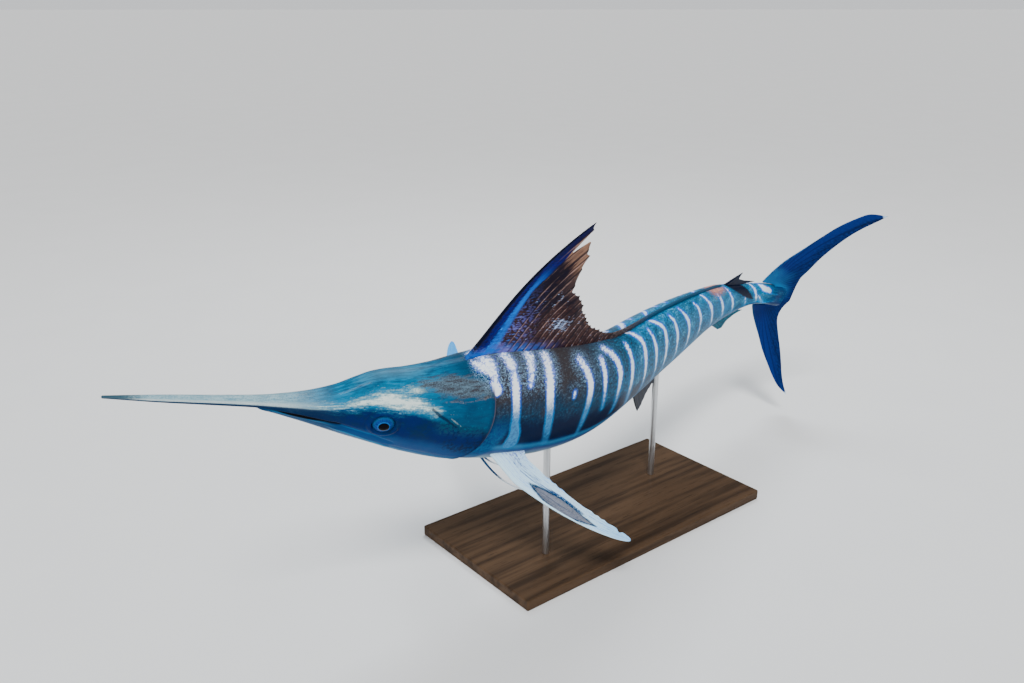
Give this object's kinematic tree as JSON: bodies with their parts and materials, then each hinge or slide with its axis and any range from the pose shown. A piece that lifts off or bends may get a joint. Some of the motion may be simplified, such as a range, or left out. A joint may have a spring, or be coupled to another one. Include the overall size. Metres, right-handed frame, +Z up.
{
  "type": "striped marlin on a display stand",
  "caption": "Life-size striped marlin, turning as it swims with fins spread, carried by two rods on a flat display base",
  "frame": {"origin": "middle of the underside of the stand base", "axes": "+X runs along the fish from the bill to the tail, +Y to the fish's right side, +Z up"},
  "size_m": [2.475, 0.6609, 0.9789],
  "materials": {
    "skin": "wet fish skin, dark blue back, grey-brown and teal flanks with pale blue bars, pale belly",
    "bill": "satin bone-grey bill, darker underneath",
    "fin": "satin deep blue membrane with raised rays",
    "eye": "glossy dark eye",
    "stand_base": "dark stained wood, satin",
    "stand_rod": "brushed"
  },
  "bodies": {
    "root": {"bill": "bill", "lower_jaw": "skin", "head": "skin", "eye_left": "eye", "eye_right": "eye", "trunk_front": "skin", "trunk_mid": "skin", "trunk_rear": "skin", "tail_base": "skin", "first_dorsal_fin": "fin", "dorsal_fin_low": "fin", "second_dorsal_fin": "fin", "first_anal_fin": "fin", "second_anal_fin": "fin", "caudal_fin_upper": "fin", "caudal_fin_lower": "fin", "pectoral_fin_left": "fin", "pectoral_fin_right": "fin", "pelvic_fin_left": "fin", "pelvic_fin_right": "fin", "stand_base": "stand_base", "stand_rod_front": "stand_rod", "stand_rod_rear": "stand_rod"}
  },
  "joints": []
}
